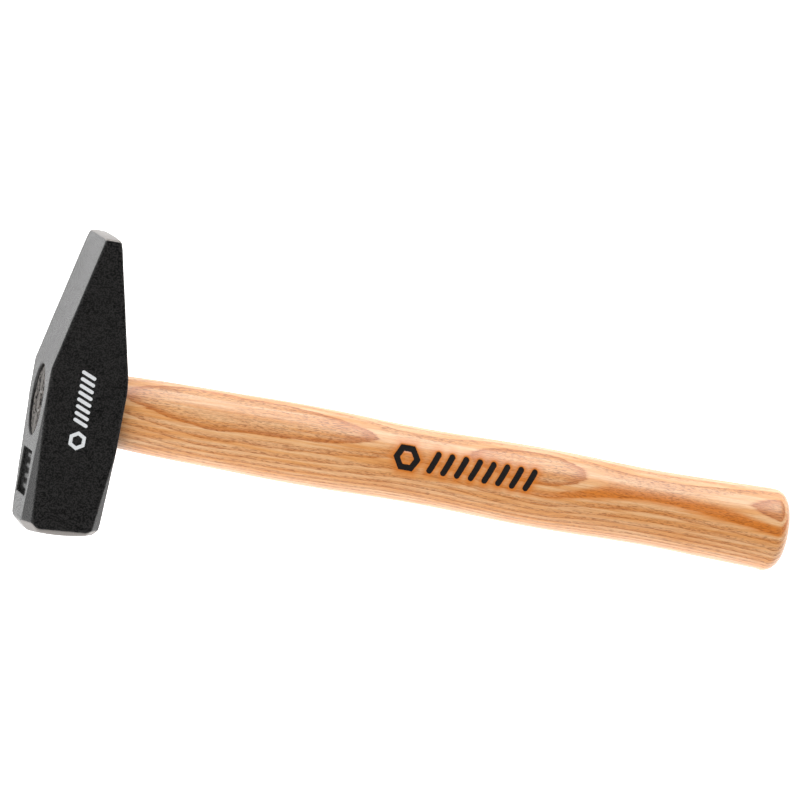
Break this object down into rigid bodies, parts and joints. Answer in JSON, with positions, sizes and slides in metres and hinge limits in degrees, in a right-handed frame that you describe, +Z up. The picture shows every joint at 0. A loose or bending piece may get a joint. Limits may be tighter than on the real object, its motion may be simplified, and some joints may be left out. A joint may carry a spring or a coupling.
{
  "type": "cross peen hammer",
  "caption": "Cross peen engineer's hammer with a black forged head, bright ground face and peen, and a lacquered ash handle wedged in an oval eye.",
  "frame": {"origin": "on the plane of the lower cheek, straight below the centre of the eye", "axes": "+X along the handle from the head to the grip end, +Y along the head from the striking face to the peen, +Z up, square to the cheeks; the hammer lies on its lower cheek"},
  "size_m": [0.3602, 0.1375, 0.036],
  "materials": {
    "head_steel": "satin black lacquer on the forged body, bare ground steel on the bevels of the face, the striking face and the peen",
    "ash_wood": "straight-grained ash under clear lacquer, rough sawn end grain in the eye",
    "wedge_wood": "dry unfinished hardwood end grain",
    "wedge_steel": "dull turned steel"
  },
  "bodies": {
    "root": {"head": "head_steel", "handle": "ash_wood", "wooden_wedge": "wedge_wood", "ring_wedge": "wedge_steel"}
  },
  "joints": []
}
